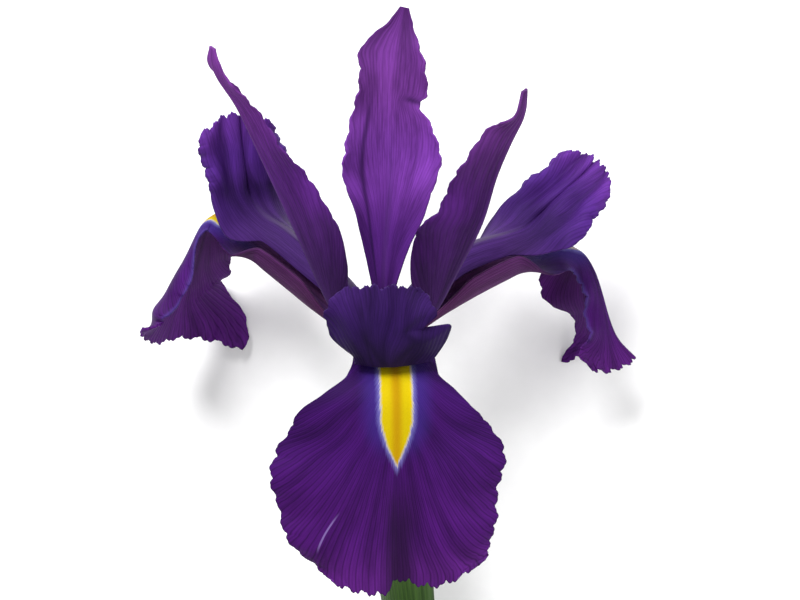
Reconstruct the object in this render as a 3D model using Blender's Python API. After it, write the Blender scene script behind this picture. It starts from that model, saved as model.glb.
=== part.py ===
"""A cut iris flower lying on its back, built from its separately grown pieces.

The flower is drawn upright in its own frame, in millimetres: +Z runs up the stem, the perianth springs
from the floral tube at the origin, and the front fall points to -Y.  One parent empty then lays it down,
so that it rests on the lowest point of each rear fall and on the cut end of the stem.
"""

import math

import bmesh
import bpy
import numpy as np

MM = 0.001
TANGENT_REACH = 0.6  # distance over which the direction of a midrib is taken, in millimetres

# Driving dimensions of the flower, in millimetres.
SHEET = 0.7  # thickness of every petal, style arm and bract
GAP = 0.3  # clearance between pieces that touch
BASE_UP = -2.0  # height at which the perianth pieces spring from the floral tube
TUBE_TOP = BASE_UP - 0.5  # top of the floral tube, just clear of the sheets
TUBE_RADIUS = 5.3  # floral tube at its top
OVARY_LENGTH = 27.0
STEM_RADIUS = 3.3
STEM_END = -95.0  # height of the cut end
STEM_DRIFT = 10.0  # how far the stem wanders to the right by its cut end
STEM_BOW = 4.0  # and to the front
NODE_UP = -63.0  # stem node that carries the two spathe bracts

# How the flower lies: angles in degrees, then the shift to the middle of its footprint.
LIE_TILT = 25.8
LIE_ROLL = -3.8
LIE_SHIFT = (-3.13, 11.36, 40.54)

# Turn of each piece round the stem, in degrees: 0 is the front, positive turns to the right.
FRONT, RIGHT, LEFT, BACK = 0.0, 120.0, -120.0, 180.0
STANDARD_RIGHT, STANDARD_LEFT = 60.0, -60.0
FRONT_FALL_TURN = 3.0


def hermite(stations, values, tangents, at):
    """Cubic curve through the values with the tangents given, at the places at."""
    step = np.diff(stations)
    i = np.clip(np.searchsorted(stations, at, side="right") - 1, 0, len(step) - 1)
    t = (at - stations[i]) / step[i]
    span = step[i]
    if values.ndim > 1:
        t, span = t[:, None], span[:, None]
    start = (1 + 2 * t) * (1 - t) ** 2 * values[i] + t * (1 - t) ** 2 * span * tangents[i]
    end = t**2 * (3 - 2 * t) * values[i + 1] - t**2 * (1 - t) * span * tangents[i + 1]
    return start + end


def eased(knots, at):
    """Values at the given stations of a smooth curve through (station, value) knots, without overshoot."""
    stations, values = np.array(knots, float).T
    slope = np.diff(values) / np.diff(stations)
    tangents = np.concatenate([slope[:1], slope[1:], slope[-1:]])
    monotone = slope[:-1] * slope[1:] > 0
    total = np.where(monotone, slope[:-1] + slope[1:], 1.0)
    tangents[1:-1] = np.where(monotone, 2 * slope[:-1] * slope[1:] / total, 0.0)
    return hermite(stations, values, tangents, np.clip(at, stations[0], stations[-1]))


def smooth_line(points, count=400, passes=120):
    """A dense smooth line through (out, up, side) points, with the length run at each of its points."""
    knots = np.array([tuple(p) + (0.0,) * (3 - len(p)) for p in points], float)
    chord = np.sqrt(np.linalg.norm(np.diff(knots, axis=0), axis=1))
    stations = np.concatenate([[0.0], np.cumsum(chord)])
    slope = np.diff(knots, axis=0) / chord[:, None]
    share = (chord[1:] / (chord[1:] + chord[:-1]))[:, None]
    middle = slope[:-1] * share + slope[1:] * (1 - share)
    tangents = np.concatenate([slope[:1], middle, slope[-1:]])
    line = hermite(stations, knots, tangents, np.linspace(0.0, stations[-1], count))
    for _ in range(passes):
        line[1:-1] = 0.25 * line[:-2] + 0.5 * line[1:-1] + 0.25 * line[2:]
    run = np.concatenate([[0.0], np.cumsum(np.linalg.norm(np.diff(line, axis=0), axis=1))])
    return run, line


class Blade:
    """A petal-like sheet, described along its midrib from base (station 0) to tip (station 1).

    A course is a number, (station, value) knots, or a pair of those for the left and the right half.
    Lengths are in millimetres and angles in radians, towards the upper face:
      half_width        reach of each half, measured along the sheet
      keel, curl, roll  angle at the midrib, bend over the half width, and bend close to the margin
      twist             turn of the section about the midrib
      sag, cleft        how far the margin, or the middle, is drawn back along the midrib
      wave, pleat       height of the ripples along the margin, and of the folds beside the midrib
      tooth             depth of the scallops along the margin; end_tooth is the same for the tip
    """

    def __init__(self, midrib, half_width, **courses):
        self.midrib = midrib
        self.courses = {"half_width": half_width, "keel": 0.0, "curl": 0.0, "roll": 0.0, "twist": 0.0}
        self.courses.update(sag=0.0, cleft=0.0, wave=0.0, pleat=0.0, tooth=0.0)
        self.sag_power = courses.pop("sag_power", 2.0)
        self.cleft_width = courses.pop("cleft_width", (0.12, 0.12))
        self.wave_count = courses.pop("wave_count", 6.0)
        self.wave_phase = courses.pop("wave_phase", (0.0, 2.0))
        self.tooth_count = courses.pop("tooth_count", 24.0)
        self.end_tooth = courses.pop("end_tooth", 0.0)
        self.courses.update(courses)

    def course(self, name, station, left):
        value = self.courses[name]
        halves = value if isinstance(value, tuple) else (value, value)
        along = [np.full_like(station, h) if np.isscalar(h) else eased(h, station) for h in halves]
        return np.where(left, along[0], along[1])

    def outline(self, s, v, left):
        """Distance along the midrib and half width for stations s and places v across, -1 to 1."""
        run, _ = smooth_line(self.midrib)
        across = np.abs(v)
        along = s * run[-1]
        along = along - self.course("sag", s, left) * across**self.sag_power
        notch = v / np.where(left, *self.cleft_width)
        along = along - self.course("cleft", s, left) * np.exp(-(notch**2))
        width = self.course("half_width", s, left)
        scallop = np.abs(np.sin(math.pi * self.tooth_count * s)) - 0.5
        width = width + self.course("tooth", s, left) * across**6 * scallop
        end = np.clip((s - 0.9) / 0.1, 0.0, 1.0) ** 2
        along = along + self.end_tooth * end * (np.abs(np.sin(math.pi * (4.5 * v + 0.3))) - 0.5)
        return along, width

    def section(self, s, v, left, width):
        """Offsets sideways and towards the upper face, found by walking out from the midrib."""
        across = np.abs(v)
        angle = self.course("keel", s, left) + self.course("curl", s, left) * across
        angle = angle + self.course("roll", s, left) * across**4
        step = v[0, 1] - v[0, 0]
        side = np.zeros_like(s)
        rise = np.zeros_like(s)
        middle = v.shape[1] // 2
        for j in range(1, middle + 1):
            for here, inner in ((middle + j, middle + j - 1), (middle - j, middle - j + 1)):
                mean = 0.5 * (angle[:, here] + angle[:, inner])
                side[:, here] = side[:, inner] + np.sign(here - middle) * np.cos(mean) * step
                rise[:, here] = rise[:, inner] + np.sin(mean) * step
        outward = np.where(left, -1.0, 1.0)
        phase = np.where(left, *self.wave_phase)
        wave = self.course("wave", s, left) * across**2.5
        wave = wave * np.sin(2 * math.pi * self.wave_count * s + phase)
        wave = wave + self.course("pleat", s, left) * np.sin(3 * math.pi * across)
        side = side * width - outward * np.sin(angle) * wave
        rise = rise * width + np.cos(angle) * wave
        return side, rise

    def points(self, rows, columns, fine=6):
        """Grid of points (row, column, xyz) in the blade's frame: X to its side, -Y outwards, Z up."""
        v_line = np.linspace(-1.0, 1.0, (columns - 1) * fine + 1)
        s, v = np.meshgrid(np.asarray(rows, float), v_line, indexing="ij")
        left = v < 0
        along, width = self.outline(s, v, left)
        side, rise = self.section(s, v, left, width)
        run, line = smooth_line(self.midrib)
        held = np.clip(along, 0.0, run[-1])

        def on_midrib(distance):
            return np.stack([np.interp(distance, run, line[:, k]) for k in range(3)], -1)

        ahead = on_midrib(np.minimum(held + TANGENT_REACH, run[-1]))
        tangent = ahead - on_midrib(np.maximum(held - TANGENT_REACH, 0.0))
        tangent /= np.linalg.norm(tangent, axis=-1, keepdims=True)
        across = np.array([0.0, 0.0, 1.0]) - tangent * tangent[..., 2:3]
        across /= np.linalg.norm(across, axis=-1, keepdims=True)
        upper = np.cross(across, tangent)
        twist = self.course("twist", held / run[-1], left)[..., None]
        across, upper = (
            across * np.cos(twist) + upper * np.sin(twist),
            upper * np.cos(twist) - across * np.sin(twist),
        )
        place = on_midrib(held) + across * side[..., None] + upper * rise[..., None]
        place = place + tangent * (along - held)[..., None]
        grid = np.stack([place[..., 2], -place[..., 0], place[..., 1]], -1)
        return grid[:, ::fine]


def stem_axis(up):
    """Middle of the stem at a height below the flower, as (x, y)."""
    depth = np.maximum(-np.asarray(up, float), 0.0) / -STEM_END
    return STEM_DRIFT * depth**1.15, -STEM_BOW * depth**2


# Falls: a channelled haft rises outwards, bends over and hangs as a broad scalloped blade.
HAFT = [(4.6, BASE_UP), (5.3, 0), (8.5, 1.6), (14, 4.2), (24, 9.5), (33, 14.5)]
HAFT_WIDTH = [(0, 2.5), (0.06, 3.2), (0.14, 5.4), (0.25, 7.4), (0.38, 7.8)]
HAFT_CURL = [(0, 0.6), (0.08, 1.2), (0.25, 1.8), (0.38, 1.3)]
FALL_SCALLOP = [(0, 0), (0.56, 0), (0.66, 0.6), (1, 0.7)]

# The near half of a rear fall's haft stands up as a wall against the style arm.
WALL_WIDTH = [(0, 2.5), (0.06, 3.2), (0.14, 6.0), (0.24, 10.4), (0.34, 10.6), (0.41, 8.8)]
WALL_CURL = [(0, 0.6), (0.08, 1.2), (0.25, 1.5), (0.38, 1.45)]
WALL_KEEL = [(0, 0), (0.1, 0), (0.25, 0.15), (0.38, 0.15), (0.46, 0)]


def front_fall():
    """The fall that faces the viewer: it hangs nearly flat, with a notch at its right end."""
    neck = HAFT_WIDTH + [(0.45, 7.6)]
    left = [(0.5, 8.8), (0.54, 13), (0.59, 17.8), (0.65, 20), (0.7, 22.5), (0.76, 23.2), (0.85, 21.6)]
    right = [(0.5, 7.8), (0.54, 10.8), (0.59, 14.2), (0.65, 18), (0.71, 20.2), (0.79, 19.4), (0.88, 18.2)]
    return Blade(
        HAFT + [(39, 16.8), (43.4, 16.8), (46.6, 14), (47.8, 8), (48, 0), (48.4, -8), (49.4, -16), (51, -25)],
        (neck + left + [(0.92, 18.6), (1, 13)], neck + right + [(0.96, 17.6), (1, 15)]),
        keel=[(0, 0), (0.62, 0), (0.82, 0.25), (1, 0.4)],
        curl=HAFT_CURL + [(0.48, 0), (0.62, -0.35), (0.82, -0.65), (1, -0.8)],
        sag=([(0, 0), (0.6, 0.5), (0.9, 1.4), (1, 3.0)], [(0, 0), (0.6, 0.5), (0.9, 2.0), (1, 5.6)]),
        cleft=[(0, 0), (0.86, 0), (1, 2.8)],
        cleft_width=(0.12, 0.38),
        wave=[(0, 0), (0.52, 0), (0.66, 0.7), (1, 0.8)],
        wave_count=7.0,
        wave_phase=(0.3, 1.2),
        tooth=FALL_SCALLOP,
        end_tooth=1.0,
    )


def rear_fall(midrib, near, far, mirrored):
    """A rear fall from the courses of its near and its far half beyond the haft.

    The near half is the one towards the front of the flower; mirrored is for the fall on the right.
    """
    none = [(0, 0), (0.44, 0)]
    far_haft = {"half_width": HAFT_WIDTH, "curl": HAFT_CURL, "keel": none, "roll": none, "sag": none}
    near_haft = dict(far_haft, half_width=WALL_WIDTH, curl=WALL_CURL, keel=WALL_KEEL)
    pairs = {name: (far_haft[name] + far[name], near_haft[name] + near[name]) for name in far_haft}
    if mirrored:
        pairs = {name: pair[::-1] for name, pair in pairs.items()}
    return Blade(
        midrib,
        pairs.pop("half_width"),
        wave=[(0, 0), (0.64, 0), (0.76, 0.8), (1, 1.2)],
        wave_count=7.0,
        wave_phase=(0.3, 1.2),
        tooth=FALL_SCALLOP,
        end_tooth=1.0,
        sag_power=1.3,
        **pairs,
    )


def left_fall():
    """The left rear fall: its near margin rolls under, and its far half flares at the end."""
    hanging = [(36.2, 17.4), (39, 19.4), (41, 18.2, 0.6), (42.6, 13.8, 1.8), (44.2, 7.6, 3.2), (46, 1, 4.6)]
    near = {
        "half_width": [(0.47, 5.8), (0.53, 4.6), (0.61, 5.2), (0.7, 9.6), (0.79, 16.4), (0.88, 19), (1, 18)],
        "curl": [(0.45, 0.3), (0.53, -0.3), (0.62, -0.8), (0.7, -0.7), (0.8, -0.3), (1, -0.2)],
        "keel": [(1, 0)],
        "roll": [(0.63, 0), (0.72, -1.4), (0.79, -1.8), (0.86, -1.4), (1, -0.5)],
        "sag": [(0.66, 0), (0.8, 2.2), (0.9, 6.4), (1, 10.5)],
    }
    far = {
        "half_width": [(0.51, 8.6), (0.59, 11), (0.66, 13), (0.75, 14.4), (0.84, 18.5), (0.95, 24), (1, 22)],
        "curl": [(0.49, 0.2), (0.61, -0.7), (0.72, -0.5), (0.8, -0.1), (0.88, 0.0), (1, -1.1)],
        "keel": [(1, 0)],
        "roll": [(1, 0)],
        "sag": [(0.6, 0.5), (0.85, 0), (0.95, -1.8), (1, -2.2)],
    }
    return rear_fall(HAFT + hanging + [(48, -4.4, 5.6), (49.6, -9.4, 6.4)], near, far, mirrored=False)


def right_fall():
    """The right rear fall: its near half is folded right back behind a narrow near face."""
    haft = [(4.6, BASE_UP), (5.3, 0), (8.5, 2), (13, 4.2), (24, 7.4), (36, 10)]
    hanging = [(42, 11.4), (46.6, 9.8, -0.6), (49.2, 5.6, -1.8), (50.8, 0, -3.0), (51.8, -5, -4.2)]
    near = {
        "half_width": [(0.46, 6.8), (0.52, 5.6), (0.6, 4.8), (0.7, 4.4), (0.82, 5.8), (0.92, 8.6), (1, 11.5)],
        "curl": [(0.44, 0.3), (0.52, -0.5), (0.62, -0.6), (0.8, -0.3), (1, -0.1)],
        "keel": [(0.52, -0.2), (0.6, -0.7), (0.7, -1.1), (1, -1.15)],
        "roll": [(1, 0)],
        "sag": [(0.66, 0), (0.85, 1.6), (1, 7.6)],
    }
    far = {
        "half_width": [(0.52, 8.6), (0.6, 11), (0.67, 15), (0.75, 17), (0.84, 15), (0.93, 17), (1, 22.5)],
        "curl": [(0.5, -0.1), (0.64, -0.6), (0.76, -0.7), (0.85, -0.2), (0.92, -0.2), (1, -1.0)],
        "keel": [(1, 0)],
        "roll": [(1, 0)],
        "sag": [(0.6, 0.5), (0.68, -0.6), (0.8, -1.6), (0.9, -0.5), (1, 2.4)],
    }
    return rear_fall(haft + hanging + [(53.2, -10, -5.8), (56.8, -14.6, -7.6)], near, far, mirrored=True)


# Standards: narrow claws that widen into upright, pointed blades.
CLAW_WIDTH = [(0, 1.2), (0.1, 1.5)]


def back_standard():
    """The standard behind the flower, broadest at its middle and stepped in below its tip."""
    right = [(0.17, 2.4), (0.29, 4.8), (0.41, 7.8), (0.5, 9.2), (0.57, 9.9), (0.63, 9.4), (0.68, 7.8)]
    left = [(0.17, 2.4), (0.29, 4.5), (0.38, 6.5), (0.47, 8.9), (0.55, 10.2), (0.61, 9.7), (0.66, 8.5)]
    return Blade(
        [(3.6, BASE_UP), (5, 3), (7, 10, -0.2), (10, 20, -0.6), (12.4, 33, -1.6), (14, 46, -1.8)]
        + [(16, 57, -2.6), (19, 64.5, -4.2)],
        (
            CLAW_WIDTH + right + [(0.73, 5.1), (0.755, 6.8), (0.85, 6.4), (0.9, 4.4), (0.95, 2.4), (1, 0.9)],
            CLAW_WIDTH + left + [(0.72, 7.5), (0.78, 7.3), (0.86, 7.2), (0.91, 4.8), (0.95, 2.6), (1, 0.9)],
        ),
        keel=0.1,
        curl=0.4,
        wave=[(0, 0), (0.3, 0), (0.5, 0.7), (0.9, 0.8), (1, 0)],
        wave_count=5.0,
        tooth=[(0, 0), (0.4, 0), (0.55, 0.5), (0.9, 0.5), (1, 0)],
        tooth_count=17.0,
    )


def side_standard(midrib, half_width):
    """A standard at the side, keeled along its midrib so that it faces inwards."""
    return Blade(
        midrib,
        half_width,
        keel=[(0, 0.2), (0.2, 0.6), (0.85, 0.55), (1, 0.0)],
        curl=[(0, 0.4), (0.85, 0.4), (1, 0.0)],
        wave=[(0, 0), (0.3, 0), (0.5, 0.6), (0.9, 0.8), (1, 0)],
        wave_count=5.0,
        tooth=[(0, 0), (0.4, 0), (0.55, 0.5), (0.9, 0.5), (1, 0)],
        tooth_count=17.0,
    )


def left_standard():
    midrib = [(3.6, BASE_UP), (5.2, 2.5), (10.9, 10), (18.4, 27.7), (25.7, 45.3), (31.2, 58.2), (34.6, 64)]
    width = [(0.2, 3.6), (0.33, 7.4), (0.45, 8.8), (0.6, 7), (0.72, 4.6), (0.85, 2.7), (0.94, 2.2), (1, 0.9)]
    return side_standard(midrib + [(35.8, 67.6), (35.6, 70.4)], CLAW_WIDTH + width)


def right_standard():
    midrib = [(3.6, BASE_UP), (5.5, 2), (12, 11), (16.3, 20), (21.8, 32.3), (24.6, 42.4), (27.5, 50)]
    far = [(0.2, 3.6), (0.33, 8.5), (0.45, 11), (0.6, 9), (0.72, 6.5), (0.85, 4.5), (1, 0.9)]
    near = [(0.2, 3.4), (0.33, 8.6), (0.42, 11), (0.52, 12), (0.6, 9.4), (0.72, 8.2), (0.85, 5.8), (0.93, 3)]
    midrib = midrib + [(30, 56), (30, 61)]
    return side_standard(midrib, (CLAW_WIDTH + near + [(1, 0.9)], CLAW_WIDTH + far))


# Style arms: petal-like roofs over the hafts, which end in an upright crest of two toothed lobes.
ARM_BASE = [(1.6, BASE_UP), (1.9, 4), (4, 8.5), (9, 13), (15, 16.5)]
ARM_WIDTH = [(0, 1.5), (0.1, 1.9), (0.22, 4.0)]
BROAD_SIDE = ARM_WIDTH + [(0.34, 6.3), (0.5, 7.6), (0.6, 8.2)]
SLIM_SIDE = ARM_WIDTH + [(0.34, 5.2), (0.46, 5.2), (0.57, 5.0)]


def style_arm(midrib, half_width, lip, roof, fold, pleat, **courses):
    """A style arm whose section is roofed by the curl roof, and whose crest turns up at the station lip.

    fold holds the curl of the lip, then the keel and the curl that crease the crest between its lobes.
    """
    keel = 0.45 * roof
    brim, crease, flare = fold
    return Blade(
        ARM_BASE + midrib,
        half_width,
        keel=[(0, -0.2), (0.2, keel), (lip - 0.12, keel), (lip - 0.02, 0), (lip + 0.12, crease), (1, crease)],
        curl=[(0, -0.5), (0.2, roof), (lip - 0.16, roof), (lip, brim), (lip + 0.12, flare), (1, flare)],
        wave=[(0, 0), (lip, 0), (lip + 0.14, 0.7), (1, 0.7)],
        wave_phase=(0.5, 2.6),
        tooth=[(0, 0), (lip + 0.06, 0), (lip + 0.2, 0.7), (1, 0.6)],
        pleat=[(0, 0), (lip, 0), (lip + 0.16, pleat), (1, 0.6 * pleat)],
        tooth_count=21.0,
        **courses,
    )


def front_arm():
    """The front style arm: its crest stands against the viewer, with a spur on its right."""
    left = [(0.68, 6.0), (0.75, 5.0), (0.81, 8.0), (0.86, 10.2), (0.92, 10.6), (0.96, 9.8), (1, 8.0)]
    right = [(0.7, 8.2), (0.75, 9.4), (0.79, 11), (0.835, 12.6), (0.88, 7.2), (0.93, 9.8), (1, 7.4)]
    crest = [(24, 21), (33, 22.8), (39.5, 22.2), (44.2, 18.8), (45.8, 22.2), (46.5, 28), (47.1, 37.2)]
    return style_arm(
        crest,
        (BROAD_SIDE + left, BROAD_SIDE + right),
        0.775,
        -0.4,
        (0.45, -0.5, 1.0),
        0.4,
        sag=(
            [(0, 0), (0.68, 0), (0.75, -1.2), (0.82, -0.6), (1, 1.4)],
            [(0, 0), (0.68, 0), (0.76, -0.8), (0.8, -1.4), (0.835, -3.0), (0.885, 0), (1, 1.4)],
        ),
        sag_power=3.0,
        cleft=[(0, 0), (0.88, 0), (1, 1.2)],
        end_tooth=0.6,
    )


def rear_arm(midrib, half_width, twist):
    """A rear style arm, with a deeply roofed section and a crest pleated between its lobes."""
    return style_arm(
        midrib,
        half_width,
        0.66,
        -0.8,
        (-0.3, 0.8, -1.1),
        1.1,
        sag=[(0, 0), (0.66, 0), (1, 3.0)],
        cleft=[(0, 0), (0.74, 0), (1, 2.4)],
        end_tooth=0.9,
        twist=twist,
    )


def left_arm():
    far = ARM_WIDTH + [(0.34, 6.3), (0.48, 8), (0.57, 10), (0.7, 9.4), (0.83, 9), (0.93, 8), (1, 6.6)]
    near = SLIM_SIDE + [(0.65, 9.6), (0.72, 9.2), (0.82, 8.8), (0.93, 9.8), (1, 8.6)]
    crest = [(22.6, 20.6), (28, 22.4), (31, 26), (32.3, 32), (32.8, 38), (33, 44)]
    return rear_arm(crest, (far, near), [(0, 0), (0.55, 0), (0.75, -0.6), (1, -0.8)])


def right_arm():
    near = SLIM_SIDE + [(0.66, 8.8), (0.74, 12.4), (0.8, 12), (0.87, 10.2), (0.94, 9.4), (1, 7.4)]
    far = BROAD_SIDE + [(0.7, 7.4), (0.82, 7.2), (0.93, 7), (1, 5.8)]
    crest = [(21.7, 17.8), (31.7, 18), (37, 20), (42, 23), (46.6, 26), (50.4, 29)]
    return rear_arm(crest, (near, far), [(0, 0), (0.55, 0), (0.75, 0.4), (1, 0.5)])


# Spathe: two bracts that sheathe the ovary and the top of the stem.
INNER_TURN, OUTER_TURN = 100.0, -60.0
OPENING = 25.0  # length over which a bract opens out from the node


def bract(turn, radii, top, wrap):
    """A bract from the stem node up to top, wrapped round the stem's axis.

    radii are those at the node and where it has opened out; wrap is the angle of its half width in radians.
    """
    low_radius, high_radius = radii
    ups = np.linspace(NODE_UP, top, 7)
    reach = np.interp(ups, [NODE_UP, NODE_UP + OPENING, top], [low_radius, high_radius, high_radius])
    x, y = stem_axis(ups)
    angle = math.radians(turn)
    out = x * math.sin(angle) - y * math.cos(angle) + reach
    side = x * math.cos(angle) + y * math.sin(angle)
    widest = wrap * high_radius
    return Blade(
        list(zip(out, ups, side)),
        [(0, wrap * low_radius), (0.4, widest), (0.65, 0.8 * widest), (0.85, 0.4 * widest), (1, 0.5)],
        curl=[(0, wrap), (0.4, wrap), (0.65, 0.8 * wrap), (0.85, 0.4 * wrap), (1, 0.1)],
    )


# Stations of the rows of points along each kind of sheet, closer where the blade is broad and waved, and
# the number of points across it.
FALL_ROWS = np.concatenate([np.linspace(0.0, 0.46, 9), 0.5 + np.arange(25) / 48.0])
STANDARD_ROWS = np.concatenate([np.linspace(0.0, 0.34, 7), np.linspace(0.38, 1.0, 22)])
ARM_ROWS = np.concatenate([np.linspace(0.0, 0.58, 9), np.linspace(0.62, 1.0, 17)])
BRACT_ROWS = np.linspace(0.0, 1.0, 14)
FALL_COLUMNS, STANDARD_COLUMNS, ARM_COLUMNS, BRACT_COLUMNS = 13, 9, 11, 13


def sheet_object(name, blade, rows, columns, turn, material, plant):
    """The blade as one closed solid: its triangulated middle surface, thickened evenly to both faces."""
    grid = blade.points(rows, columns) * MM
    mesh = bpy.data.meshes.new(name)
    shell = bmesh.new()
    corner = [[shell.verts.new(point) for point in row] for row in grid]
    for low, high in zip(corner, corner[1:]):
        for j in range(columns - 1):
            shell.faces.new((low[j], low[j + 1], high[j + 1]))
            shell.faces.new((low[j], high[j + 1], high[j]))
    shell.to_mesh(mesh)
    shell.free()
    mesh.shade_smooth()
    thing = add_object(name, mesh, turn, material, plant)
    solidify = thing.modifiers.new("thickness", "SOLIDIFY")
    solidify.thickness = SHEET * MM
    solidify.offset = 0.0
    thing.modifiers.new("triangles", "TRIANGULATE")
    return thing


def loft_object(name, rings, turn, material, plant):
    """A closed solid through rings of points, with flat ends."""
    mesh = bpy.data.meshes.new(name)
    solid = bmesh.new()
    loops = [[solid.verts.new(point * MM) for point in ring] for ring in rings]
    count = len(loops[0])
    for low, high in zip(loops, loops[1:]):
        for j in range(count):
            solid.faces.new((low[j], low[(j + 1) % count], high[(j + 1) % count], high[j]))
    solid.faces.new(loops[0][::-1])
    solid.faces.new(loops[-1])
    bmesh.ops.recalc_face_normals(solid, faces=solid.faces)
    solid.to_mesh(mesh)
    solid.free()
    mesh.shade_smooth()
    mesh.set_sharp_from_angle(angle=math.radians(50))
    return add_object(name, mesh, turn, material, plant)


def add_object(name, mesh, turn, material, plant):
    """Hang the mesh on the plant, turned round the stem by the degrees given."""
    thing = bpy.data.objects.new(name, mesh)
    thing.data.materials.append(material)
    thing.rotation_euler.z = math.radians(turn)
    thing.parent = plant
    bpy.context.collection.objects.link(thing)
    return thing


def rings_up_stem(heights, radii, sides, lobes=0.0):
    """Horizontal rings round the stem's axis; lobes swells the section into three low ribs."""
    rings = []
    turn = np.arange(sides) * 2 * math.pi / sides
    for up, radius in zip(heights, radii):
        x, y = stem_axis(up)
        reach = radius * (1 + lobes * np.cos(3 * turn))
        rings.append(np.stack([x + reach * np.sin(turn), y - reach * np.cos(turn), np.full(sides, up)], 1))
    return rings


def stem_rings():
    """The stem from its cut end up to the ovary, swollen at the node that carries the bracts."""
    top = TUBE_TOP - OVARY_LENGTH - GAP
    ups = np.concatenate([np.linspace(STEM_END, NODE_UP - 3, 7), [NODE_UP - 1.5, NODE_UP, NODE_UP + 1.5]])
    ups = np.concatenate([ups, np.linspace(NODE_UP + 4, top, 7)])
    knots = [(STEM_END, 1.12), (NODE_UP - 3, 1.04), (NODE_UP - 1.5, 1.15), (NODE_UP - 0.4, 1.12)]
    knots += [(NODE_UP + 1.5, 0.95), (top, 0.86)]
    return rings_up_stem(ups, STEM_RADIUS * eased(knots, ups), 14)


def ovary_rings():
    """The three-ribbed ovary and the floral tube that widens on top of it."""
    depths = [0.0, 0.6, 2.2, 4.5, 7.0, 11.0, 16.0, 21.0, 25.0, OVARY_LENGTH]
    radii = [1.0, 0.96, 0.74, 0.58, 0.6, 0.68, 0.71, 0.68, 0.58, 0.5]
    heights = [TUBE_TOP - depth for depth in depths]
    rings = rings_up_stem(heights, [TUBE_RADIUS * r for r in radii], 18, lobes=0.05)
    return rings[::-1]


def stamen_rings(drop):
    """A thread-like filament that widens into a flattened anther under its style arm.

    drop scales its rise above the tube, to keep it inside the channel of its haft.
    """
    path = [(3.0, BASE_UP), (3.2, 3), (5.2, 6.5 * drop), (9.5, 11 * drop), (15, 14.4 * drop)]
    run, line = smooth_line(path + [(21, 17 * drop), (27, 18.6 * drop)])
    share = np.concatenate([np.linspace(0, 0.66, 9), [0.69, 0.74, 0.82, 0.9, 0.96, 1.0]])
    radius = eased([(0, 0.55), (0.66, 0.5), (0.7, 0.8), (0.76, 1.1), (0.92, 1.0), (1, 0.5)], share)
    flat = eased([(0, 1), (0.66, 1), (0.74, 0.6), (1, 0.6)], share)
    place = np.stack([np.interp(share * run[-1], run, line[:, k]) for k in range(2)], 1)
    tangent = np.gradient(place, axis=0)
    tangent /= np.linalg.norm(tangent, axis=1, keepdims=True)
    turn = np.arange(8) * 2 * math.pi / 8
    rings = []
    for middle, (run_out, run_up), wide, thin in zip(place, tangent, radius, radius * flat):
        out = middle[0] - run_up * thin * np.sin(turn)
        up = middle[1] + run_out * thin * np.sin(turn)
        rings.append(np.stack([wide * np.cos(turn), -out, up], 1))
    return rings


def principled(name, colour, roughness):
    """A plain material of the given linear colour."""
    material = bpy.data.materials.new(name)
    material.use_nodes = True
    shader = material.node_tree.nodes["Principled BSDF"]
    shader.inputs["Base Color"].default_value = (*colour, 1.0)
    shader.inputs["Roughness"].default_value = roughness
    shader.inputs["Metallic"].default_value = 0.0
    material.diffuse_color = (*colour, 1.0)
    return material


def clear_scene():
    for thing in list(bpy.data.objects):
        bpy.data.objects.remove(thing)


def build():
    """Build every piece of the flower and lay the plant down."""
    clear_scene()
    plant = bpy.data.objects.new("plant", None)
    bpy.context.collection.objects.link(plant)
    plant.rotation_mode = "ZXY"
    plant.rotation_euler = (math.radians(LIE_TILT - 90.0), 0.0, math.radians(LIE_ROLL))
    plant.location = [MM * shift for shift in LIE_SHIFT]

    fall = principled("fall", (0.062, 0.012, 0.145), 0.6)
    standard = principled("standard", (0.14, 0.03, 0.25), 0.55)
    style = principled("style", (0.055, 0.022, 0.14), 0.6)
    stamen = principled("stamen", (0.55, 0.5, 0.62), 0.7)
    green = principled("stem", (0.05, 0.12, 0.025), 0.5)
    pale_green = principled("ovary", (0.09, 0.19, 0.04), 0.5)
    bract_green = principled("spathe", (0.07, 0.15, 0.035), 0.55)

    loft_object("stem", stem_rings(), 0.0, green, plant)
    loft_object("ovary", ovary_rings(), 0.0, pale_green, plant)
    for name, blade, turn in (
        ("spathe_inner", bract(INNER_TURN, radii=(4.4, 5.1), top=-9.0, wrap=2.2), INNER_TURN),
        ("spathe_outer", bract(OUTER_TURN, radii=(5.8, 6.5), top=-14.0, wrap=2.0), OUTER_TURN),
    ):
        sheet_object(name, blade, BRACT_ROWS, BRACT_COLUMNS, turn, bract_green, plant)
    for name, blade, turn in (
        ("fall_front", front_fall(), FRONT_FALL_TURN),
        ("fall_left", left_fall(), LEFT),
        ("fall_right", right_fall(), RIGHT),
    ):
        sheet_object(name, blade, FALL_ROWS, FALL_COLUMNS, turn, fall, plant)
    for name, blade, turn in (
        ("standard_back", back_standard(), BACK),
        ("standard_left", left_standard(), STANDARD_LEFT),
        ("standard_right", right_standard(), STANDARD_RIGHT),
    ):
        sheet_object(name, blade, STANDARD_ROWS, STANDARD_COLUMNS, turn, standard, plant)
    for name, blade, turn in (
        ("style_arm_front", front_arm(), FRONT),
        ("style_arm_left", left_arm(), LEFT),
        ("style_arm_right", right_arm(), RIGHT),
    ):
        sheet_object(name, blade, ARM_ROWS, ARM_COLUMNS, turn, style, plant)
    for name, turn, drop in (
        ("stamen_front", FRONT, 1.0),
        ("stamen_left", LEFT, 1.03),
        ("stamen_right", RIGHT, 0.86),
    ):
        loft_object(name, stamen_rings(drop), turn, stamen, plant)


build()
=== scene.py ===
"""The looks of the cut iris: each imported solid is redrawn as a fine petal, arm, bract or stalk.

Every piece follows the form of the solid that it replaces, with its veins, thin edge and small teeth in the
mesh, and its colours painted by nodes that read where on the petal a point lies. Lengths are in millimetres
in the flower's own frame: +Z up the stem, the front fall towards -Y. plant_place() lays it down.
"""

import math

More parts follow.
